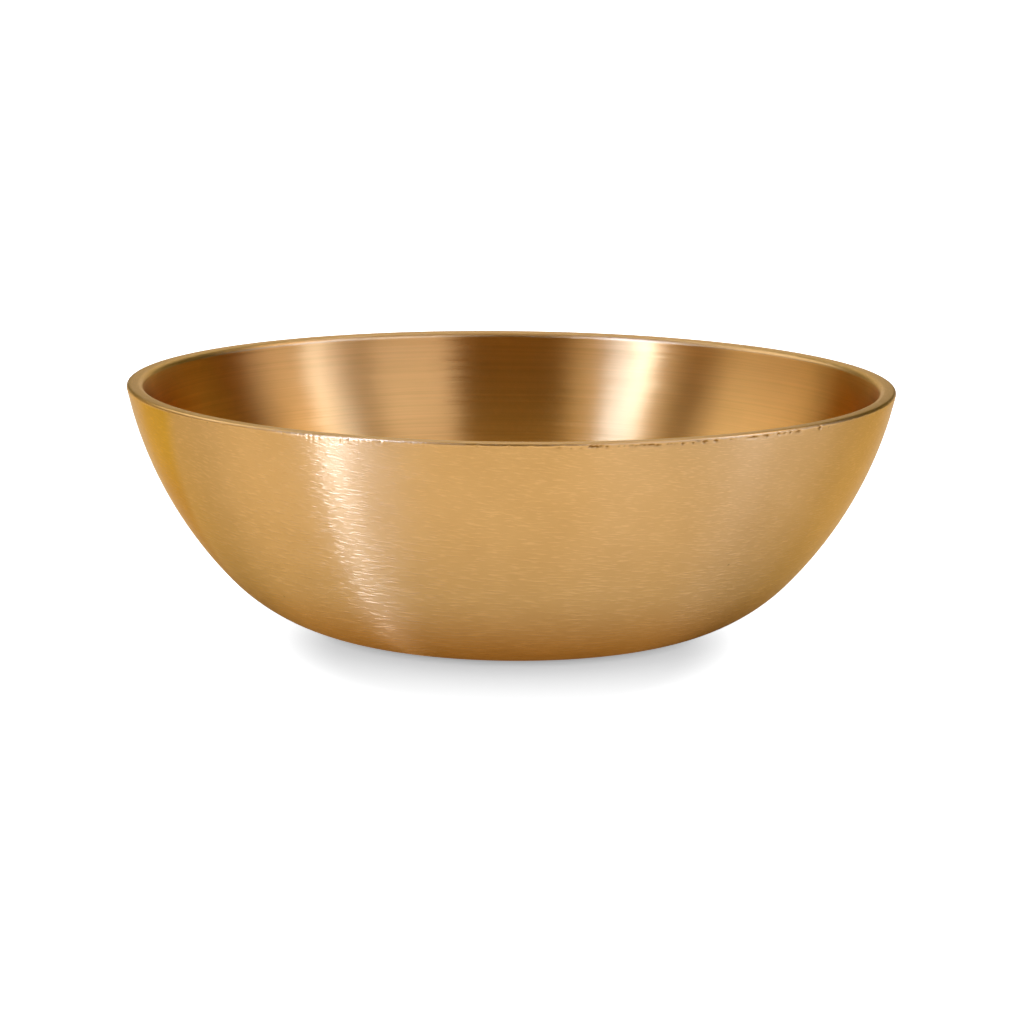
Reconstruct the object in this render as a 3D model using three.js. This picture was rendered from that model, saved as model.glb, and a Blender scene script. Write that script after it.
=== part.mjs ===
import * as THREE from 'three';

// A thick-walled bronze bowl, cast in one piece and turned true on a lathe.
// Millimetres, +Z up. The origin is the centre of the flat foot, on the surface that the bowl stands on.

// Overall sizes
const lipDiameter = 200;
const height = 64.8;
const footDiameter = 87;

// Outside of the wall: two arcs that run smoothly into each other. An angle here is the slope of the
// wall above the horizontal, in degrees.
const footSlope = 7;
const shoulderSlope = 46;
const lipSlope = 77.5;

// Metal thickness, thin at the lip and heavier at the floor, as a casting is
const lipWall = 4.2;
const floorThickness = 4.8;

// Inside of the bowl: a shallow dish, then two arcs like the outside's
const floorDiameter = 76;
const floorSlope = 4;
const innerShoulderSlope = 46;

// The lip: a narrow flat land between a small outer round and a larger inner one
const lipOuterRound = 0.75;
const lipInnerRound = 1.6;

// Facets
const turns = 96;
const arcStep = 5;
const roundStep = 20;

const radians = THREE.MathUtils.degToRad;

// The unit normal, towards the outside, of a wall that rises at this slope. On the inner surface the
// same direction points into the metal.
function normalAt(slope) {
  return new THREE.Vector2(Math.sin(radians(slope)), -Math.cos(radians(slope)));
}

// A point at a distance from another along the wall's normal.
function offset(point, slope, distance) {
  return point.clone().addScaledVector(normalAt(slope), distance);
}

// The points of an arc about a centre, from one slope to another, both ends included.
function arc(centre, radius, fromSlope, toSlope, step) {
  const count = Math.max(2, Math.ceil(Math.abs(toSlope - fromSlope) / step));
  return Array.from({ length: count + 1 }, (_, i) =>
    offset(centre, fromSlope + ((toSlope - fromSlope) * i) / count, radius));
}

// Two tangent arcs from a start point to an end point with the slopes given there, which meet where the
// wall reaches joinSlope. The end point less the start point is one chord of each arc, and each chord is
// its radius times the change of its normal, so the two radii solve a pair of linear equations.
function wallCurve(start, startSlope, joinSlope, end, endSlope) {
  const low = normalAt(joinSlope).sub(normalAt(startSlope));
  const high = normalAt(endSlope).sub(normalAt(joinSlope));
  const span = end.clone().sub(start);
  const lowRadius = span.cross(high) / low.cross(high);
  const highRadius = low.cross(span) / low.cross(high);
  const lowCentre = offset(start, startSlope, -lowRadius);
  const highCentre = offset(end, endSlope, -highRadius);
  return [
    ...arc(lowCentre, lowRadius, startSlope, joinSlope, arcStep),
    ...arc(highCentre, highRadius, joinSlope, endSlope, arcStep).slice(1),
  ];
}

// The outer round's centre sits so that the round touches the lip's full diameter and its full height.
const outerRoundCentre = new THREE.Vector2(lipDiameter / 2 - lipOuterRound, height - lipOuterRound);

// The inner round's centre lies at its own radius below the lip's plane, where the two walls are
// lipWall apart measured square to the wall.
const roundDrop = (lipInnerRound - lipOuterRound) * Math.cos(radians(lipSlope));
const landWidth = (lipWall - lipOuterRound - lipInnerRound + roundDrop) / Math.sin(radians(lipSlope));
const innerRoundCentre = new THREE.Vector2(outerRoundCentre.x - landWidth, height - lipInnerRound);

// Outside, from the foot's edge to where the outer round begins
const footEdge = new THREE.Vector2(footDiameter / 2, 0);
const outerWall = wallCurve(
  footEdge, footSlope, shoulderSlope, offset(outerRoundCentre, lipSlope, lipOuterRound), lipSlope);

// Over the lip: up the outer round to the land, split where it is widest, then down the inner round
const level = 180;
const upright = 90;
const lip = [
  ...arc(outerRoundCentre, lipOuterRound, lipSlope, upright, roundStep).slice(1),
  ...arc(outerRoundCentre, lipOuterRound, upright, level, roundStep).slice(1),
  ...arc(innerRoundCentre, lipInnerRound, level, level + lipSlope, roundStep),
];

// Inside, from the dish's edge to where the inner round ends
const dishRadius = floorDiameter / 2 / Math.sin(radians(floorSlope));
const dishCentre = new THREE.Vector2(0, floorThickness + dishRadius);
const dish = arc(dishCentre, dishRadius, 0, floorSlope, arcStep);
const innerWall = wallCurve(
  dish.at(-1), floorSlope, innerShoulderSlope, offset(innerRoundCentre, lipSlope, -lipInnerRound), lipSlope);

// One closed section, from the axis under the foot, up the outside, over the lip and back down the
// inside to the axis, revolved about it
function bowlGeometry() {
  const section = [
    new THREE.Vector2(0, 0),
    ...outerWall,
    ...lip,
    ...innerWall.slice(1, -1).reverse(),
    ...dish.reverse(),
  ];
  section.at(-1).x = 0;
  const geometry = new THREE.LatheGeometry(section, turns);
  return geometry.rotateX(Math.PI / 2);
}

const bronze = new THREE.MeshStandardMaterial({
  name: 'brushed_bronze',
  color: 0xc79a5c,
  metalness: 1,
  roughness: 0.36,
});

const bowl = new THREE.Mesh(bowlGeometry(), bronze);
bowl.name = 'bowl';

const assembly = new THREE.Group();
assembly.name = 'bronze_bowl';
assembly.add(bowl);

export default assembly;
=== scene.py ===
"""A thick bronze bowl, cast in one piece, turned on a lathe and brushed round its axis.

Metres, +Z up, the origin at the middle of the flat foot. The camera stands in front, on the -Y side.
"""
import math

import bpy
import numpy as np
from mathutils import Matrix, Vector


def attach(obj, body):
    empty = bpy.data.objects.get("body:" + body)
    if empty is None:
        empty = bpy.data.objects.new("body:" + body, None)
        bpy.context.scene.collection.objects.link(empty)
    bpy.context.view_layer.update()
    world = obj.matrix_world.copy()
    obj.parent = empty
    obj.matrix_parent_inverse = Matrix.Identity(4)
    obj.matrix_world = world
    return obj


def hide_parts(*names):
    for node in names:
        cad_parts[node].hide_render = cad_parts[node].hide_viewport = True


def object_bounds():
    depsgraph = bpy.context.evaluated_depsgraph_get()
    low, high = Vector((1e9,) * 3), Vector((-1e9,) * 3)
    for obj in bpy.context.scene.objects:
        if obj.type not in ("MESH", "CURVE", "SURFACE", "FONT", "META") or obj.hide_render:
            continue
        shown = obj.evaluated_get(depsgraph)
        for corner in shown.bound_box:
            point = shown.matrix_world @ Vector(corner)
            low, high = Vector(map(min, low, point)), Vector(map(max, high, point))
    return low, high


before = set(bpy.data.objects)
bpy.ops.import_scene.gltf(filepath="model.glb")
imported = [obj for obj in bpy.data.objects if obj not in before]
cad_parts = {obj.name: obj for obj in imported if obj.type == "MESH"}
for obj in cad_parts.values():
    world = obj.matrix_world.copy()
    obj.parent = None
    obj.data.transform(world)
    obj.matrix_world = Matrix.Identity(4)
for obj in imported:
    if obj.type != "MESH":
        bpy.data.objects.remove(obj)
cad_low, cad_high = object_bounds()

MM = 0.001
HALF_TURN = 180.0
UPWARDS = (0.0, 0.0, 1.0)

# The bowl's driving sizes. The diameter and the height are the frame's own.
LIP_RADIUS = (cad_high.x - cad_low.x) / 2
HEIGHT = cad_high.z
FOOT_RADIUS = 43.5 * MM
FOOT_SLOPE = 7.0
SHOULDER_SLOPE = 46.0
LIP_SLOPE = 77.5
LIP_WALL = 4.2 * MM
FLOOR_THICKNESS = 4.8 * MM
FLOOR_RADIUS = 38 * MM
FLOOR_SLOPE = 4.0
INNER_SHOULDER_SLOPE = 46.0
LIP_OUTER_ROUND = 0.75 * MM
LIP_INNER_ROUND = 1.6 * MM

# The mesh: points along each run of the section, columns round the walls, how many lip columns meet each of
# them, and the finer strip of wall below the lip
FOOT_POINTS = 6
WALL_ARC_POINTS = 20
DISH_POINTS = 8
OUTER_ROUND_POINTS = 8
LAND_POINTS = 4
INNER_ROUND_POINTS = 7
WALL_COLUMNS = 480
LIP_SPLIT = 5
LIP_STRIP = 1.6 * MM
STRIP_RINGS = 6
INNER_STRIP_RINGS = 3

# The slots of the bowl's mesh
OUTSIDE, LIP, INSIDE = range(3)

# Wear on the lip's outer edge: chips at the front right, small nicks that are thickest there, and an edge
# that is nowhere quite even. Angles are in degrees from the front (-Y), positive towards +X.
WEAR_SEED = 11
WEAR_SCATTER = 0.15 * MM
CHIP_ANGLES = (11.1, 11.9, 13.4, 20.0, 24.6, 26.2, 28.0, 29.9, 36.3, 38.8, 41.0, 43.4, 49.9)
CHIP_LENGTH = (0.3 * MM, 0.55 * MM)
CHIP_WIDTH = (0.2 * MM, 0.32 * MM)
CHIP_DEPTH = (0.25 * MM, 0.4 * MM)
NICKS = 170
NICK_SHARE_WORN = 0.6
WORN_STRETCH = (5.0, 55.0)
NICK_LENGTH = (0.25 * MM, 1.0 * MM)
NICK_WIDTH = (0.1 * MM, 0.22 * MM)
NICK_DEPTH = (0.05 * MM, 0.16 * MM)
RAGGED_DEPTH = 0.035 * MM
RAGGED_WAVES = (60, 700)
RAGGED_MEAN = 0.5
RAGGED_SWING = 0.5
RAGGED_MOST = 2.0
LIGHT_WEAR = 0.08 * MM
FULL_WEAR = 0.24 * MM

# Camera: a long lens a little above the lip, rolled a touch, as the bowl stands in the photograph
CAMERA_DISTANCE = 1.2
CAMERA_SIDE = 0.5 * MM
LIP_VIEW_ELEVATION = 8.42
AIM_HEIGHT = 30.5 * MM
CAMERA_ROLL = 0.61
CAMERA_CLIP = (0.05, 100.0)
LENS_MM = 161.8
SENSOR_MM = 36.0

# How each finish is brushed, in the terms of the brush_marks group
OUTSIDE_BRUSH = {
    "Width": 0.27 * MM, "Length": 2.3 * MM, "Coarser": 0.5, "Wander": 0.7 * MM, "Slant": 0.13,
    "Flat": 0.5, "Crest": 0.73, "Tip Along": 0.05, "Tip Across": 0.48,
}
LIP_BRUSH = {
    "Width": 0.4 * MM, "Length": 4 * MM, "Coarser": 0.0, "Wander": 0.5 * MM, "Slant": 0.0,
    "Flat": 0.4, "Crest": 0.8, "Tip Along": 0.03, "Tip Across": 0.06,
}
INSIDE_BRUSH = {
    "Width": 0.5 * MM, "Length": 60 * MM, "Coarser": 0.0, "Wander": 0.3 * MM, "Slant": 0.0,
    "Flat": 0.2, "Crest": 0.8, "Tip Along": 0.02, "Tip Across": 0.12,
}
# Roughness and anisotropy of each
OUTSIDE_GLOSS = (0.35, 1.0)
LIP_GLOSS = (0.36, 0.6)
INSIDE_GLOSS = (0.33, 1.0)
QUARTER_TURN = 0.25

# What all uses of the brush_marks group share: noise scales per metre, the step that the relief's slope is
# taken over, the distance from the lip over which Coarser counts once, how deep the relief is at the rim
# and at the foot, and the stretch round the bowl, in degrees, outside which the marks have only their light
# touch
NOISE_MIDDLE = 0.5
WANDER_SCALE = 60.0
PATCH_SCALE = 90.0
MARK_TONE = 0.5
PATCH_TONE = 0.5
RELIEF_STEP = 0.3
COARSER_REACH = 70.0 * MM
RIM_RELIEF = 1.0
FOOT_RELIEF = 3.0
FIRM_STRETCH = (-42.0, -12.0)
FIRM_SOFT = 20.0
LIGHT_TOUCH = 0.45
PIT_SCALE = 110.0
PIT_SIZE = 0.035
PIT_RARITY = 0.75
PIT_STRENGTH = 0.5

# The bronze's colours, and the tints painted on it: painted shade that darkens and browns the foot in place
# of the shadowed floor it reflects, a painted yellow reflection in a band on the left, and brown in that
# band's lower part
BRONZE_DARK = (0.73, 0.41, 0.14, 1.0)
BRONZE_LIGHT = (0.9, 0.535, 0.205, 1.0)
INSIDE_DARK = (0.74, 0.38, 0.095, 1.0)
INSIDE_LIGHT = (0.92, 0.48, 0.135, 1.0)
BRONZE_EDGE = (1.0, 0.78, 0.42, 1.0)
BRONZE_DIRT = (0.3, 0.12, 0.015, 1.0)
DIRT_METALLIC = 0.5
# Painted shade: the foot's colour is darkened and browned in place of the shadowed floor that the lower wall
# reflects
PAINTED_FOOT_SHADE_TOP = 24.0 * MM
PAINTED_FOOT_SHADE_FULL = 0.0 * MM
PAINTED_FOOT_SHADE_TINT = (0.78, 0.51, 0.22, 1.0)
# Painted reflection: a yellow band up the left of the wall, with brown in its lower part
PAINTED_REFLECTION_ANGLES = (-69.5, -58.5)
PAINTED_REFLECTION_DRIFT = 13.0
PAINTED_REFLECTION_SOFT = 5.0
PAINTED_REFLECTION_TINT = (1.0, 0.95, 0.45, 1.0)
PAINTED_REFLECTION_LOWER_TOP = 56.0 * MM
PAINTED_REFLECTION_LOWER_FULL = 36.0 * MM
PAINTED_REFLECTION_LOWER_TINT = (0.87, 0.76, 0.95, 1.0)

# Colours of light
WHITE = (1.0, 1.0, 1.0)
COOL = (0.62, 1.0, 2.6)
ICE = (0.58, 1.15, 3.95)
DAYLIGHT = (1.0, 1.22, 2.1)
PALE = (1.0, 1.1, 1.4)
WARM = (1.0, 0.8, 0.35)
AMBER = (1.0, 1.0, 0.1)

# The light tent: its softboxes, each as the middle and half width in degrees round the axis, how many
# degrees the middle leans from LEAN_HEIGHT down to the floor, the lowest and highest edge in metres, the
# softness of the side edges in degrees, the strength and the colour
TENT_RADIUS = 0.7
TENT_HEIGHT = 0.9
TENT_COLUMNS = 96
LEAN_HEIGHT = 0.35
SOFTBOXES = [
    (-47.0, 7.2, 0.0, 0.5, 1.0, 5.0, 5.9, ICE),
    (-46.0, 3.1, -5.0, -0.2, 0.3, 3.0, 14.5, COOL),
    (-45.0, 21.0, 0.0, 0.36, 1.0, 14.0, 1.35, PALE),
    (39.0, 16.0, 0.0, 0.3, 1.0, 10.0, 1.15, DAYLIGHT),
    (60.0, 37.0, 0.0, 0.4, 1.0, 10.0, 0.58, DAYLIGHT),
    (76.0, 3.6, 0.0, 0.25, 1.0, 6.0, 4.5, COOL),
    (97.0, 9.0, 0.0, 0.2, 1.0, 14.0, 0.5, DAYLIGHT),
    (77.0, 20.0, 0.0, -0.2, 0.25, 26.0, 0.95, DAYLIGHT),
    (105.0, 21.0, 0.0, 0.65, 1.0, 12.0, 2.0, WARM),
    (-115.0, 31.0, 0.0, 0.32, 1.0, 10.0, 1.3, PALE),
    (0.0, 25.0, 0.0, -0.2, 0.1, 16.0, 1.35, WARM),
    (-68.0, 20.0, 0.0, -0.2, 0.12, 16.0, 1.15, WARM),
    (-115.0, 28.0, 0.0, -0.2, 0.12, 20.0, 0.45, WARM),
    (-145.0, 24.0, 0.0, 0.1, 1.0, 10.0, 0.08, AMBER),
    (145.0, 24.0, 0.0, 0.1, 1.0, 10.0, 0.08, AMBER),
]
HEIGHT_SOFT = 0.1

# The cloth at the tent's rear: a narrow stretch of full height, and a wider one near the floor
REAR_STRENGTH = 0.64
REAR_STRETCH = (166.0, 200.0)
REAR_SOFT = 14.0
LOW_REAR_STRETCH = (140.0, 200.0)
LOW_REAR_SOFT = 20.0
LOW_REAR_HEIGHT = (-0.2, 0.12)

# The sky in reflections: its strength at the front and at the rear, and where one turns into the other, as
# the y of the direction
FRONT_SKY = 0.39
REAR_SKY = 1.0
SKY_EDGE = (0.1, 0.35)

# The floor, and the one sun that lights it, as wide as the sky
FLOOR_SUN = 3.2
FLOOR_SUN_WIDTH = 178.0
FLOOR_REACH = 8.0
FLOOR_WHITE = (0.9, 0.9, 0.9, 1.0)

# The floor's own glow: in the shadow, how much less where the foot touches it and how far out, the shadow's
# middle and half sizes, and where the glow starts and stops growing as a share of these
FLOOR_GLOW = 0.53
CONTACT_SHADE = 0.2
CONTACT_RADIUS = 52 * MM
SHADOW_MIDDLE = -30 * MM
SHADOW_REACH = (60 * MM, 92 * MM)
SHADOW_FADE = (0.7, 1.15)

# The pool of light on the floor in front of the bowl, which only the metal mirrors
FRONT_POOL = 0.27
FRONT_POOL_REACH = (-74.0, 50.0)
FRONT_POOL_SOFT = 36.0


def normal_at(slope):
    """The unit normal (outwards, up) of a wall that rises at this slope in degrees: (sin, -cos)."""
    angle = np.radians(slope)
    return np.stack([np.sin(angle), -np.cos(angle)], axis=-1)


def arc(centre, radius, start, end, count):
    """Points of an arc: the centre plus radius times the normal, for slopes evenly spaced from start to
    end."""
    return np.asarray(centre) + radius * normal_at(np.linspace(start, end, count))


def straight(start, end, count):
    """Points evenly spaced on the line from start to end, both included."""
    return np.asarray(start) + np.linspace(0.0, 1.0, count)[:, None] * (np.asarray(end) - start)


def wall_curve(start, start_slope, join_slope, end, end_slope, count):
    """Two tangent arcs that meet where the wall reaches join_slope. The end less the start is the sum of
    each arc's radius times the change of its normal, which is a pair of linear equations in the radii."""
    low = normal_at(join_slope) - normal_at(start_slope)
    high = normal_at(end_slope) - normal_at(join_slope)
    low_radius, high_radius = np.linalg.solve(np.stack([low, high], axis=1), end - start)
    low_centre = start - low_radius * normal_at(start_slope)
    high_centre = end - high_radius * normal_at(end_slope)
    low_arc = arc(low_centre, low_radius, start_slope, join_slope, count)
    high_arc = arc(high_centre, high_radius, join_slope, end_slope, count)
    return np.concatenate([low_arc, high_arc[1:]])


def cut_short(curve, length):
    """The curve without the stretch of this length at its end, and the point where that stretch starts,
    which is interpolated on the length left from each point to the end."""
    steps = np.linalg.norm(np.diff(curve, axis=0), axis=1)
    left = np.append(steps[::-1].cumsum()[::-1], 0.0)
    cut = np.array([np.interp(length, left[::-1], curve[::-1, axis]) for axis in range(2)])
    return curve[left > length + steps[-1] / 2], cut


def bowl_section():
    """The closed section as (radius, height) points in three runs: from the axis under the foot up the
    outside, over the lip, and down the inside to the axis. The lip's run starts and ends a strip's width
    down each wall."""
    outer_centre = np.array([LIP_RADIUS - LIP_OUTER_ROUND, HEIGHT - LIP_OUTER_ROUND])
    lean = np.radians(LIP_SLOPE)
    drop = (LIP_INNER_ROUND - LIP_OUTER_ROUND) * np.cos(lean)
    land = (LIP_WALL - LIP_OUTER_ROUND - LIP_INNER_ROUND + drop) / np.sin(lean)
    inner_centre = np.array([outer_centre[0] - land, HEIGHT - LIP_INNER_ROUND])
    outer_top = outer_centre + LIP_OUTER_ROUND * normal_at(LIP_SLOPE)
    inner_top = inner_centre - LIP_INNER_ROUND * normal_at(LIP_SLOPE)
    foot = straight((0.0, 0.0), (FOOT_RADIUS, 0.0), FOOT_POINTS)
    outside = wall_curve(foot[-1], FOOT_SLOPE, SHOULDER_SLOPE, outer_top, LIP_SLOPE, WALL_ARC_POINTS)
    dish_radius = FLOOR_RADIUS / np.sin(np.radians(FLOOR_SLOPE))
    dish = arc((0.0, FLOOR_THICKNESS + dish_radius), dish_radius, 0.0, FLOOR_SLOPE, DISH_POINTS)
    inside = wall_curve(dish[-1], FLOOR_SLOPE, INNER_SHOULDER_SLOPE, inner_top, LIP_SLOPE, WALL_ARC_POINTS)
    outside, outside_end = cut_short(outside, LIP_STRIP)
    inside, inside_end = cut_short(inside, LIP_STRIP)
    outer_round = arc(outer_centre, LIP_OUTER_ROUND, LIP_SLOPE, HALF_TURN, OUTER_ROUND_POINTS)
    inner_round = arc(inner_centre, LIP_INNER_ROUND, HALF_TURN, HALF_TURN + LIP_SLOPE, INNER_ROUND_POINTS)
    lip = np.concatenate([
        straight(outside_end, outer_top, STRIP_RINGS)[:-1],
        outer_round,
        straight(outer_round[-1], inner_round[0], LAND_POINTS)[1:-1],
        inner_round,
        straight(inner_top, inside_end, INNER_STRIP_RINGS)[1:],
    ])
    return np.concatenate([foot, outside[1:]]), lip, np.concatenate([dish, inside[1:]])[::-1]


def section_normals(run):
    """The outward unit normals at a run's points, square to the line between each point's neighbours."""
    along = np.gradient(run, axis=0)
    along /= np.linalg.norm(along, axis=1, keepdims=True)
    return np.stack([along[:, 1], -along[:, 0]], axis=-1)


def edge_wear(run, angle):
    """How deep the lip is worn at each ring and column. A chip or nick is a depth times one bell curve
    along the section and one round the lip, and all are summed. The uneven edge is a sum of sines round the
    lip with random phases, under a bell curve along the section."""
    draw = np.random.default_rng(WEAR_SEED)
    length = np.append(0.0, np.linalg.norm(np.diff(run, axis=0), axis=1).cumsum())
    edge = length[STRIP_RINGS - 1]
    chips = len(CHIP_ANGLES)
    worn = draw.uniform(*np.radians(WORN_STRETCH), NICKS)
    anywhere = draw.uniform(-np.pi, np.pi, NICKS)
    nick_angles = np.where(draw.random(NICKS) < NICK_SHARE_WORN, worn, anywhere)
    at = np.concatenate([np.radians(CHIP_ANGLES), nick_angles]) - np.pi / 2
    along = edge + draw.normal(0.0, WEAR_SCATTER, chips + NICKS)
    spans = ((CHIP_LENGTH, NICK_LENGTH), (CHIP_WIDTH, NICK_WIDTH), (CHIP_DEPTH, NICK_DEPTH))
    long, wide, deep = (
        np.append(draw.uniform(*chip, chips), draw.uniform(*nick, NICKS)) for chip, nick in spans)
    gap = np.angle(np.exp(1j * (angle[None] - at[:, None]))) * LIP_RADIUS
    round_lip = np.exp(-(gap / long[:, None]) ** 2)
    over_lip = np.exp(-((length[None] - along[:, None]) / wide[:, None]) ** 2)
    nicks = np.einsum("n,nr,nc->rc", deep, over_lip, round_lip)
    waves = np.arange(*RAGGED_WAVES)
    phase = draw.uniform(0.0, 2 * np.pi, len(waves))
    uneven = np.sin(waves[:, None] * angle[None] + phase[:, None]).sum(axis=0) / np.sqrt(len(waves) / 2)
    bell = np.exp(-((length - edge) / LIP_OUTER_ROUND) ** 2)
    ragged = np.clip(RAGGED_MEAN + RAGGED_SWING * uneven, 0.0, RAGGED_MOST)
    return np.minimum(nicks, CHIP_DEPTH[1]) + RAGGED_DEPTH * bell[:, None] * ragged


def revolve(run, columns, wear=None):
    """Points of a run of the section turned round the axis: (r cos a, r sin a, z), as rings by columns.
    Wear takes each point in along the section's normal."""
    angle = np.linspace(0.0, 2 * np.pi, columns, endpoint=False)
    r = np.repeat(run[:, :1], columns, axis=1)
    z = np.repeat(run[:, 1:], columns, axis=1)
    if wear is not None:
        normals = section_normals(run)
        r = r - wear * normals[:, :1]
        z = z - wear * normals[:, 1:]
    return np.stack([r * np.cos(angle), r * np.sin(angle), z], axis=-1)


def quads(first, rings, columns):
    """The faces of a band of rings that starts at point number first, with the outside to the right of the
    run."""
    i = np.arange(columns)
    k = (i + 1) % columns
    row = first + np.arange(rings - 1)[:, None] * columns
    return np.stack([row + i, row + k, row + columns + k, row + columns + i], axis=-1).reshape(-1, 4)


def fans(coarse, fine, columns, split):
    """Triangles that join a ring of columns points to one of split times as many, as if coarse came
    first."""
    i = np.arange(columns)[:, None]
    m = np.arange(split)
    k = (i + 1) % columns
    half = (split + 1) // 2
    low = fine + i * split + m
    high = fine + (i * split + m + 1) % (columns * split)
    near = coarse + np.where(m < half, i, k)
    slim = np.stack([near, high, low], axis=-1).reshape(-1, 3)
    wide = np.stack([coarse + i, coarse + k, fine + i * split + half], axis=-1).reshape(-1, 3)
    return np.concatenate([slim, wide])


def cap(pole, first, columns):
    """Triangles from a ring to the pole point in its middle, for a pole that comes before the ring."""
    i = np.arange(columns)
    return np.stack([np.full(columns, pole), first + (i + 1) % columns, first + i], axis=-1)


def bowl_mesh():
    """The bowl as one closed mesh: the walls' runs in WALL_COLUMNS, the lip's in LIP_SPLIT times as many.
    The point attribute arc holds the length along the section from the lip's outer edge, which the brush
    marks follow, and the attribute wear how deep the lip's nicks are, from 0 to 1."""
    outer, lip, inner = bowl_section()
    section = np.concatenate([outer, lip, inner])
    length = np.linalg.norm(np.diff(section, axis=0, prepend=section[:1]), axis=1).cumsum()
    length -= length[len(outer) + STRIP_RINGS - 1]
    lip_columns = WALL_COLUMNS * LIP_SPLIT
    depth = edge_wear(lip, np.linspace(0.0, 2 * np.pi, lip_columns, endpoint=False))
    runs = [
        revolve(outer[1:], WALL_COLUMNS),
        revolve(lip, lip_columns, depth),
        revolve(inner[:-1], WALL_COLUMNS),
    ]
    poles = np.array([[0.0, 0.0, outer[0, 1]], [0.0, 0.0, inner[-1, 1]]])
    points = np.concatenate([poles] + [run.reshape(-1, 3) for run in runs])
    counts = [1, 1] + [run.shape[1] for run in runs for _ in run]
    ends = np.array([length[0], length[-1]])
    arc_length = np.repeat(np.concatenate([ends, length[1:-1]]), counts)

    outer_first = 2
    lip_first = outer_first + runs[0].shape[0] * WALL_COLUMNS
    inner_first = lip_first + runs[1].shape[0] * lip_columns
    outer_last = lip_first - WALL_COLUMNS
    lip_last = inner_first - lip_columns
    inner_last = len(points) - WALL_COLUMNS
    round_first = lip_first + (STRIP_RINGS - 1) * lip_columns
    strip_first = inner_first - INNER_STRIP_RINGS * lip_columns
    lip_rings = (strip_first - round_first) // lip_columns + 1
    parts = [
        (OUTSIDE, cap(0, outer_first, WALL_COLUMNS)),
        (OUTSIDE, quads(outer_first, runs[0].shape[0], WALL_COLUMNS)),
        (OUTSIDE, fans(outer_last, lip_first, WALL_COLUMNS, LIP_SPLIT)),
        (OUTSIDE, quads(lip_first, STRIP_RINGS, lip_columns)),
        (LIP, quads(round_first, lip_rings, lip_columns)),
        (INSIDE, quads(strip_first, INNER_STRIP_RINGS, lip_columns)),
        (INSIDE, fans(inner_first, lip_last, WALL_COLUMNS, LIP_SPLIT)[:, ::-1]),
        (INSIDE, quads(inner_first, runs[2].shape[0], WALL_COLUMNS)),
        (INSIDE, cap(1, inner_last, WALL_COLUMNS)[:, ::-1]),
    ]
    mesh = bpy.data.meshes.new("bronze_bowl")
    mesh.from_pydata(points.tolist(), [], [face for _, faces in parts for face in faces.tolist()])
    slots = np.repeat([slot for slot, _ in parts], [len(faces) for _, faces in parts])
    mesh.polygons.foreach_set("material_index", slots)
    mesh.attributes.new("arc", "FLOAT", "POINT").data.foreach_set("value", arc_length)
    wear = np.zeros(len(points))
    wear[lip_first:inner_first] = np.interp(depth, (LIGHT_WEAR, FULL_WEAR), (0.0, 1.0)).ravel()
    mesh.attributes.new("wear", "FLOAT", "POINT").data.foreach_set("value", wear)
    mesh.shade_smooth()
    return mesh


def add(tree, kind, values=None, **settings):
    """A node with its settings, and its inputs set to a value or linked to a socket."""
    node = tree.nodes.new(kind)
    for name, value in settings.items():
        setattr(node, name, value)
    for name, value in (values or {}).items():
        if isinstance(value, bpy.types.NodeSocket):
            tree.links.new(value, node.inputs[name])
        else:
            node.inputs[name].default_value = value
    return node


def maths(tree, operation, *values):
    """The result socket of a Math node."""
    return add(tree, "ShaderNodeMath", dict(enumerate(values)), operation=operation).outputs[0]


def vectors(tree, operation, *values):
    """The result socket of a Vector Math node."""
    return add(tree, "ShaderNodeVectorMath", dict(enumerate(values)), operation=operation).outputs[0]


def scaled(tree, vector, factor):
    """A vector, or a colour of light, times a number."""
    return add(tree, "ShaderNodeVectorMath", {0: vector, "Scale": factor}, operation="SCALE").outputs[0]


def blended(tree, factor, first, second, blend="MIX"):
    """The first colour, turned by the factor into the second or, with MULTIPLY, into their product."""
    return add(tree, "ShaderNodeMix", {0: factor, 6: first, 7: second},
               data_type="RGBA", blend_type=blend).outputs[2]


def ramp(tree, value, start, end, low=0.0, high=1.0, shape="SMOOTHSTEP"):
    """Low up to the start, high from the end on, and an S-shaped climb between them, or a LINEAR one."""
    return add(tree, "ShaderNodeMapRange", {
        "Value": value, "From Min": start, "From Max": end, "To Min": low, "To Max": high,
    }, interpolation_type=shape).outputs["Result"]


def window(tree, value, low, high, soft):
    """A mask that is 1 from low to high, with an S-shaped edge of this width centred on each."""
    rise = ramp(tree, value, low - soft / 2, low + soft / 2)
    fall = ramp(tree, value, high - soft / 2, high + soft / 2, 1.0, 0.0)
    return maths(tree, "MULTIPLY", rise, fall)


def axes(tree, source="Object"):
    """The x, y and z of the Object coordinates, or of another of that node's outputs."""
    place = add(tree, "ShaderNodeTexCoord").outputs[source]
    return add(tree, "ShaderNodeSeparateXYZ", {"Vector": place}).outputs


def azimuth(tree, x, y):
    """The angle about the axis in degrees, 0 at the front (-Y) and positive towards +X."""
    return maths(tree, "DEGREES", maths(tree, "ARCTAN2", x, maths(tree, "MULTIPLY", y, -1.0)))


def group(name, inputs, outputs):
    """An empty shader node group with float inputs and the named outputs, its input node's sockets and its
    output node's."""
    tree = bpy.data.node_groups.new(name, "ShaderNodeTree")
    for label in inputs:
        tree.interface.new_socket(label, in_out="INPUT", socket_type="NodeSocketFloat")
    for label, kind in outputs.items():
        tree.interface.new_socket(label, in_out="OUTPUT", socket_type=kind)
    return tree, tree.nodes.new("NodeGroupInput").outputs, tree.nodes.new("NodeGroupOutput").inputs


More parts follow.
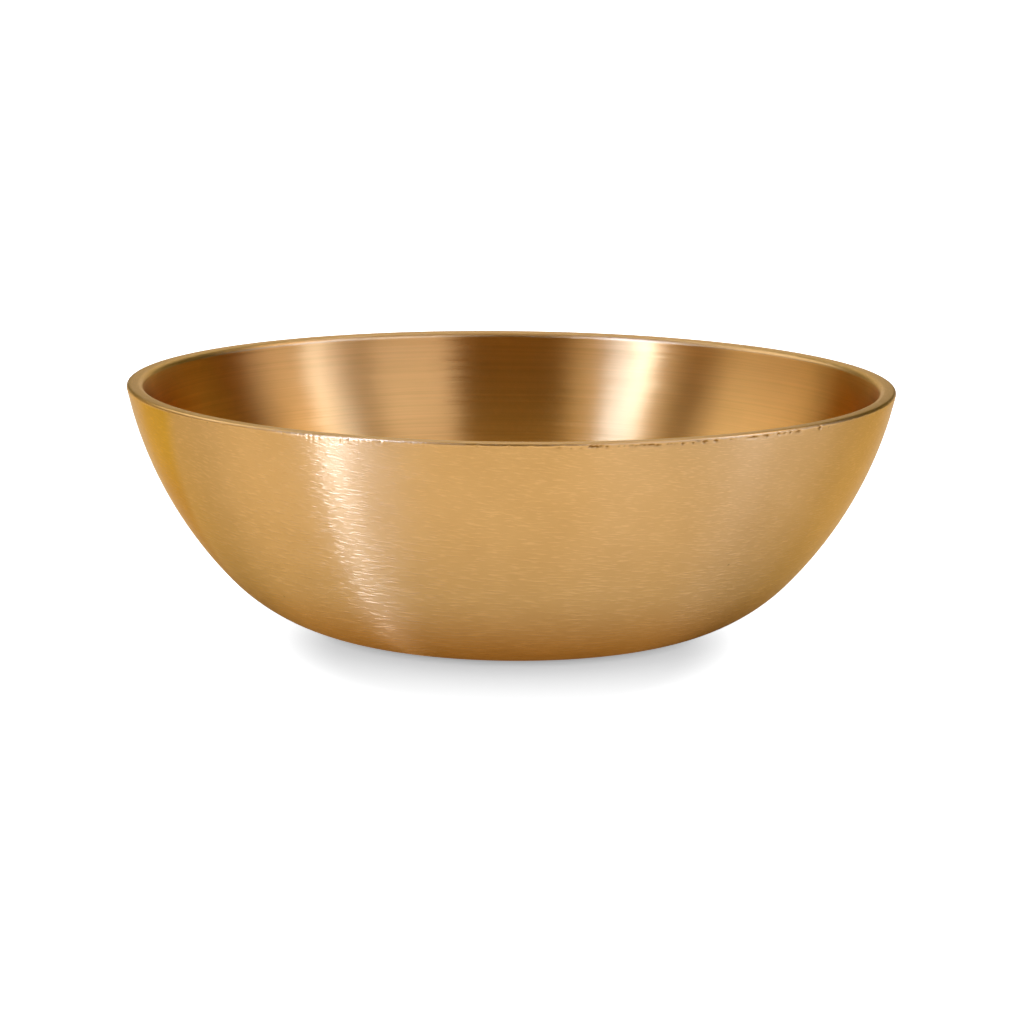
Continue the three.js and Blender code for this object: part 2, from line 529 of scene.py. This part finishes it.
def stretched_place(tree, place, given):
    """The point (x / length, y / length, arc / width), where plain noise becomes marks that are long round
    the bowl and narrow across it. The width grows away from the lip by the factor 1 + Coarser * distance /
    COARSER_REACH, and the length by its square. A slow wander of the arc length and a slant towards the
    front's upper edge turn the marks a few degrees."""
    x, y, z = axes(tree)
    from_lip = add(tree, "ShaderNodeAttribute", attribute_name="arc").outputs["Fac"]
    slow = add(tree, "ShaderNodeTexNoise", {"Vector": place, "Scale": WANDER_SCALE, "Detail": 1.0})
    off_middle = maths(tree, "SUBTRACT", slow.outputs["Fac"], NOISE_MIDDLE)
    swing = maths(tree, "MULTIPLY", off_middle, given["Wander"])
    raised = maths(tree, "MULTIPLY", x, maths(tree, "DIVIDE", z, HEIGHT))
    lean = maths(tree, "MULTIPLY", raised, given["Slant"])
    bent = maths(tree, "ADD", from_lip, maths(tree, "ADD", swing, lean))
    far = maths(tree, "DIVIDE", maths(tree, "ABSOLUTE", from_lip), COARSER_REACH)
    coarser = maths(tree, "MULTIPLY_ADD", far, given["Coarser"], 1.0)
    length = maths(tree, "MULTIPLY", given["Length"], maths(tree, "MULTIPLY", coarser, coarser))
    width = maths(tree, "MULTIPLY", given["Width"], coarser)
    return add(tree, "ShaderNodeCombineXYZ", {
        "X": maths(tree, "DIVIDE", x, length),
        "Y": maths(tree, "DIVIDE", y, length),
        "Z": maths(tree, "DIVIDE", bent, width),
    }).outputs[0]


def mark_height(tree, place, given):
    """The height of the marks' relief at a stretched place: noise, with all below Flat at 0 and above Crest
    at 1."""
    noise = add(tree, "ShaderNodeTexNoise", {"Vector": place, "Scale": 1.0, "Detail": 1.0, "Roughness": 0.5})
    return ramp(tree, noise.outputs["Fac"], given["Flat"], given["Crest"])


def pressed(tree):
    """How hard the marks are pressed: from RIM_RELIEF at the rim to FOOT_RELIEF at the foot, times
    LIGHT_TOUCH outside the firm stretch."""
    x, y, z = axes(tree)
    up_wall = maths(tree, "DIVIDE", z, HEIGHT)
    deeper = maths(tree, "MULTIPLY_ADD", up_wall, RIM_RELIEF - FOOT_RELIEF, FOOT_RELIEF)
    firm = window(tree, azimuth(tree, x, y), *FIRM_STRETCH, FIRM_SOFT)
    touch = maths(tree, "MULTIPLY_ADD", firm, 1.0 - LIGHT_TOUCH, LIGHT_TOUCH)
    return maths(tree, "MULTIPLY", deeper, touch)


def casting_pits(tree, place):
    """A mask of sparse specks, the middles of a few of a cell pattern's cells."""
    cells = add(tree, "ShaderNodeTexVoronoi", {"Vector": place, "Scale": PIT_SCALE})
    near = maths(tree, "LESS_THAN", cells.outputs["Distance"], PIT_SIZE)
    chosen = add(tree, "ShaderNodeSeparateColor", {"Color": cells.outputs["Color"]}).outputs[0]
    return maths(tree, "MULTIPLY", near, maths(tree, "GREATER_THAN", chosen, PIT_RARITY))


def brush_marks_group():
    """Fine scratches round the axis. Normal is the surface's, tipped along and across the marks by the
    relief's slope, which is its fall over a small step either way, and across also by how hard they are
    pressed. Tone is the relief's height with soft patches, and Pits is the mask of the casting's pits."""
    tree, given, result = group(
        "brush_marks",
        ["Width", "Length", "Coarser", "Wander", "Slant", "Flat", "Crest", "Tip Along", "Tip Across"],
        {"Tone": "NodeSocketFloat", "Pits": "NodeSocketFloat", "Normal": "NodeSocketVector"})
    place = add(tree, "ShaderNodeTexCoord").outputs["Object"]
    normal = add(tree, "ShaderNodeNewGeometry").outputs["Normal"]
    around = vectors(tree, "NORMALIZE", vectors(tree, "CROSS_PRODUCT", UPWARDS, place))
    up = vectors(tree, "CROSS_PRODUCT", normal, around)

    here = stretched_place(tree, place, given)
    further = vectors(tree, "ADD", here, scaled(tree, around, RELIEF_STEP))
    higher = vectors(tree, "ADD", here, (0.0, 0.0, RELIEF_STEP))
    height = mark_height(tree, here, given)
    slope_along = maths(tree, "SUBTRACT", height, mark_height(tree, further, given))
    slope_across = maths(tree, "SUBTRACT", height, mark_height(tree, higher, given))
    tip_along = maths(tree, "MULTIPLY", slope_along, given["Tip Along"])
    lightly = maths(tree, "MULTIPLY", slope_across, given["Tip Across"])
    tip_across = maths(tree, "MULTIPLY", lightly, pressed(tree))
    tip = vectors(tree, "ADD", scaled(tree, around, tip_along), scaled(tree, up, tip_across))

    patches = add(tree, "ShaderNodeTexNoise", {"Vector": place, "Scale": PATCH_SCALE, "Detail": 2.0})
    patch_tone = maths(tree, "MULTIPLY", patches.outputs["Fac"], PATCH_TONE)
    tone = maths(tree, "MULTIPLY_ADD", height, MARK_TONE, patch_tone)
    tree.links.new(tone, result["Tone"])
    tree.links.new(casting_pits(tree, place), result["Pits"])
    tree.links.new(vectors(tree, "NORMALIZE", vectors(tree, "ADD", normal, tip)), result["Normal"])
    return tree


def painted_foot_shade(tree):
    """A mask of painted shade, darker towards the foot in place of the shadowed floor it reflects, that
    grows from the top of its ramp down to the foot.
    """
    _, _, z = axes(tree)
    return ramp(tree, z, PAINTED_FOOT_SHADE_TOP, PAINTED_FOOT_SHADE_FULL)


def painted_reflection_mask(tree):
    """A mask of a painted yellow reflection on the left of the bowl: a band up the wall, which lies further
    left towards the foot.
    """
    x, y, z = axes(tree)
    below_lip = maths(tree, "SUBTRACT", 1.0, maths(tree, "DIVIDE", z, HEIGHT))
    drift = maths(tree, "MULTIPLY", below_lip, PAINTED_REFLECTION_DRIFT)
    return window(tree, maths(tree, "ADD", azimuth(tree, x, y), drift), *PAINTED_REFLECTION_ANGLES, PAINTED_REFLECTION_SOFT)


def painted_reflection_lower(tree):
    """The painted reflection band's lower part, tinted brown, which grows from the top of its ramp down to
    where it is full.
    """
    _, _, z = axes(tree)
    return maths(tree, "MULTIPLY", ramp(tree, z, PAINTED_REFLECTION_LOWER_TOP, PAINTED_REFLECTION_LOWER_FULL), painted_reflection_mask(tree))


def metal(name, marks, brush, gloss, dark, light, painted_light_tints=()):
    """Brushed bronze: the marks tip the normal and mix the dark colour with the light one, each painted tint
    (the painted shade at the foot and the painted reflection on the left) multiplies the colour by its tint
    where its mask is, pits and worn places are dirty, and the reflection is wide across the marks and narrow
    along them."""
    material = bpy.data.materials.new(name)
    material.use_nodes = True
    tree = material.node_tree
    shader = tree.nodes["Principled BSDF"]
    brushed = add(tree, "ShaderNodeGroup", brush, node_tree=marks)
    colour = blended(tree, brushed.outputs["Tone"], dark, light)
    for mask, tint in painted_light_tints:
        colour = blended(tree, mask(tree), colour, tint, "MULTIPLY")
    wear = add(tree, "ShaderNodeAttribute", attribute_name="wear").outputs["Fac"]
    dirt = maths(tree, "MAXIMUM", wear, maths(tree, "MULTIPLY", brushed.outputs["Pits"], PIT_STRENGTH))
    tree.links.new(blended(tree, dirt, colour, BRONZE_DIRT), shader.inputs["Base Color"])
    tree.links.new(brushed.outputs["Normal"], shader.inputs["Normal"])
    tangent = add(tree, "ShaderNodeTangent", direction_type="RADIAL", axis="Z").outputs[0]
    tree.links.new(tangent, shader.inputs["Tangent"])
    metallic = maths(tree, "MULTIPLY_ADD", dirt, DIRT_METALLIC - 1.0, 1.0)
    tree.links.new(metallic, shader.inputs["Metallic"])
    roughness, anisotropy = gloss
    shader.inputs["Roughness"].default_value = roughness
    shader.inputs["Anisotropic"].default_value = anisotropy
    shader.inputs["Anisotropic Rotation"].default_value = QUARTER_TURN
    shader.inputs["Specular Tint"].default_value = BRONZE_EDGE
    return material


def camera():
    """The camera, at the photograph's view of the lip's centre and aimed at AIM_HEIGHT on the axis."""
    rise = math.radians(LIP_VIEW_ELEVATION)
    data = bpy.data.cameras.new("camera")
    data.lens = LENS_MM
    data.sensor_width = SENSOR_MM
    data.clip_start, data.clip_end = CAMERA_CLIP
    eye = bpy.data.objects.new("camera", data)
    distance = CAMERA_DISTANCE * math.cos(rise)
    eye.location = (CAMERA_SIDE, -distance, HEIGHT + CAMERA_DISTANCE * math.sin(rise))
    down = math.atan2(eye.location.z - AIM_HEIGHT, -eye.location.y)
    eye.rotation_euler = (math.pi / 2 - down, 0.0, 0.0)
    eye.rotation_euler.rotate_axis("Z", math.radians(CAMERA_ROLL))
    bpy.context.scene.collection.objects.link(eye)
    bpy.context.scene.camera = eye


def staged(name, points, faces):
    """An object of a few faces that isn't part of the bowl."""
    mesh = bpy.data.meshes.new(name)
    mesh.from_pydata(points, [], faces)
    piece = bpy.data.objects.new(name, mesh)
    bpy.context.scene.collection.objects.link(piece)
    return piece


def matt(name, colour):
    """A material without gloss, its node tree and its shader."""
    material = bpy.data.materials.new(name)
    material.use_nodes = True
    shader = material.node_tree.nodes["Principled BSDF"]
    shader.inputs["Base Color"].default_value = colour
    shader.inputs["Roughness"].default_value = 1.0
    shader.inputs["Specular IOR Level"].default_value = 0.0
    return material, material.node_tree, shader


def rear_cloth(tree, turn, z):
    """A mask of the stretch of cloth at the rear, which is wider near the floor."""
    side = maths(tree, "ABSOLUTE", turn)
    narrow = window(tree, side, *REAR_STRETCH, REAR_SOFT)
    wide = window(tree, side, *LOW_REAR_STRETCH, LOW_REAR_SOFT)
    low = window(tree, z, *LOW_REAR_HEIGHT, HEIGHT_SOFT)
    return maths(tree, "MAXIMUM", narrow, maths(tree, "MULTIPLY", wide, low))


def light_tent():
    """A cloth cylinder round the bowl that only reflections see. Its glow is the sum of its softboxes, each
    a window round the axis times a window of height, and of the rear cloth."""
    angle = np.linspace(0.0, 2 * np.pi, TENT_COLUMNS, endpoint=False)
    ring = np.stack([np.cos(angle), np.sin(angle), np.zeros(TENT_COLUMNS)], axis=-1) * TENT_RADIUS
    points = np.concatenate([ring, ring + (0.0, 0.0, TENT_HEIGHT)])
    tent = staged("light_tent", points.tolist(), quads(0, 2, TENT_COLUMNS).tolist())
    tent.visible_camera = False
    tent.visible_diffuse = False
    tent.visible_shadow = False
    cloth, tree, shader = matt("tent_cloth", (0.0, 0.0, 0.0, 1.0))
    cloth.cycles.emission_sampling = "NONE"
    x, y, z = axes(tree)
    turn = azimuth(tree, x, y)
    down = ramp(tree, z, LEAN_HEIGHT, 0.0, shape="LINEAR")
    rear_glow = tuple(REAR_STRENGTH * part for part in PALE)
    light = scaled(tree, rear_glow, rear_cloth(tree, turn, z))
    for middle, half, lean, low, high, soft, strength, colour in SOFTBOXES:
        centre = maths(tree, "MULTIPLY_ADD", down, lean, middle)
        off = maths(tree, "WRAP", maths(tree, "SUBTRACT", turn, centre), HALF_TURN, -HALF_TURN)
        across = window(tree, off, -half, half, soft)
        mask = maths(tree, "MULTIPLY", across, window(tree, z, low, high, HEIGHT_SOFT))
        glow = tuple(strength * part for part in colour)
        light = vectors(tree, "ADD", light, scaled(tree, glow, mask))
    tree.links.new(light, shader.inputs["Emission Color"])
    shader.inputs["Emission Strength"].default_value = 1.0
    tent.data.materials.append(cloth)


def sky():
    """The world. The camera sees plain white. Reflections see a warm sky over the front and a brighter,
    pale one over the rear, and nothing from below."""
    world = bpy.data.worlds.new("studio")
    world.use_nodes = True
    world.cycles.sampling_method = "NONE"
    tree = world.node_tree
    background = tree.nodes["Background"].inputs
    path = add(tree, "ShaderNodeLightPath").outputs
    _, y, z = axes(tree, "Generated")
    above = maths(tree, "GREATER_THAN", z, 0.0)
    strength = ramp(tree, y, *SKY_EDGE, FRONT_SKY, REAR_SKY)
    mirrored = maths(tree, "MULTIPLY", maths(tree, "MULTIPLY", path["Is Glossy Ray"], above), strength)
    tree.links.new(maths(tree, "MAXIMUM", path["Is Camera Ray"], mirrored), background["Strength"])
    rear = maths(tree, "GREATER_THAN", y, SKY_EDGE[0])
    tint = blended(tree, rear, WARM + (1.0,), PALE + (1.0,))
    tree.links.new(blended(tree, path["Is Camera Ray"], tint, WHITE + (1.0,)), background["Color"])
    bpy.context.scene.world = world


def floor_sun():
    """A sun straight above, as wide as the sky and left out of reflections. It lights the floor, and gives
    it the bowl's soft shadow."""
    data = bpy.data.lights.new("dome", "SUN")
    data.energy = FLOOR_SUN
    data.angle = math.radians(FLOOR_SUN_WIDTH)
    data.cycles.use_multiple_importance_sampling = False
    lamp = bpy.data.objects.new("dome", data)
    lamp.visible_glossy = False
    bpy.context.scene.collection.objects.link(lamp)


def floor_glow(tree, x, y):
    """The floor's own glow: FLOOR_GLOW inside the shadow's ellipse and 1 outside it, by the length of (x, y
    - middle) over the half sizes, less a shade that fades from the foot's edge to CONTACT_RADIUS."""
    off_middle = maths(tree, "SUBTRACT", y, SHADOW_MIDDLE)
    outwards = add(tree, "ShaderNodeCombineXYZ", {
        "X": maths(tree, "DIVIDE", x, SHADOW_REACH[0]),
        "Y": maths(tree, "DIVIDE", off_middle, SHADOW_REACH[1]),
    }).outputs[0]
    away = add(tree, "ShaderNodeVectorMath", {0: outwards}, operation="LENGTH").outputs["Value"]
    glow = ramp(tree, away, *SHADOW_FADE, FLOOR_GLOW, 1.0)
    squares = maths(tree, "ADD", maths(tree, "MULTIPLY", x, x), maths(tree, "MULTIPLY", y, y))
    radius = maths(tree, "SQRT", squares)
    contact = ramp(tree, radius, FOOT_RADIUS, CONTACT_RADIUS, CONTACT_SHADE, 0.0, "LINEAR")
    return maths(tree, "SUBTRACT", glow, contact)


def floor():
    """A large white floor. In the camera's view part of its white is its own glow, and the rest is lit, so
    that it keeps the bowl's shadow; the glow itself is lower in a painted shadow round the bowl and lower
    still in a painted ring at the foot. In the metal it shows a painted pool of light in front of the bowl."""
    reach = FLOOR_REACH
    corners = [(-reach, -reach, 0.0), (reach, -reach, 0.0), (reach, reach, 0.0), (-reach, reach, 0.0)]
    piece = staged("floor", corners, [(0, 1, 2, 3)])
    paper, tree, shader = matt("white_paper", FLOOR_WHITE)
    path = add(tree, "ShaderNodeLightPath").outputs
    x, y, _ = axes(tree)
    pool = window(tree, azimuth(tree, x, y), *FRONT_POOL_REACH, FRONT_POOL_SOFT)
    in_metal = maths(tree, "MAXIMUM", path["Is Glossy Ray"], path["Is Transmission Ray"])
    mirrored = maths(tree, "MULTIPLY", in_metal, maths(tree, "MULTIPLY", pool, FRONT_POOL))
    seen = maths(tree, "MULTIPLY_ADD", path["Is Camera Ray"], floor_glow(tree, x, y), mirrored)
    shader.inputs["Emission Color"].default_value = WHITE + (1.0,)
    tree.links.new(seen, shader.inputs["Emission Strength"])
    piece.data.materials.append(paper)


camera()
bowl = bpy.data.objects.new("bronze_bowl", bowl_mesh())
bpy.context.scene.collection.objects.link(bowl)
# The floor takes no colour from the bowl
bowl.visible_diffuse = False
marks = brush_marks_group()
# Painted shade at the foot and a painted yellow reflection on the left, each a mask and the tint it
# multiplies the colour by
painted_light_tints = [(painted_foot_shade, PAINTED_FOOT_SHADE_TINT), (painted_reflection_mask, PAINTED_REFLECTION_TINT), (painted_reflection_lower, PAINTED_REFLECTION_LOWER_TINT)]
# In the order of the slots OUTSIDE, LIP and INSIDE
finishes = [
    metal("brushed_outside", marks, OUTSIDE_BRUSH, OUTSIDE_GLOSS, BRONZE_DARK, BRONZE_LIGHT, painted_light_tints),
    metal("worn_lip", marks, LIP_BRUSH, LIP_GLOSS, BRONZE_DARK, BRONZE_LIGHT),
    metal("turned_inside", marks, INSIDE_BRUSH, INSIDE_GLOSS, INSIDE_DARK, INSIDE_LIGHT),
]
for finish in finishes:
    bowl.data.materials.append(finish)
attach(bowl, "root")
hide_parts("bowl")
floor()
light_tent()
sky()
floor_sun()
bpy.context.scene.view_settings.view_transform = "Standard"
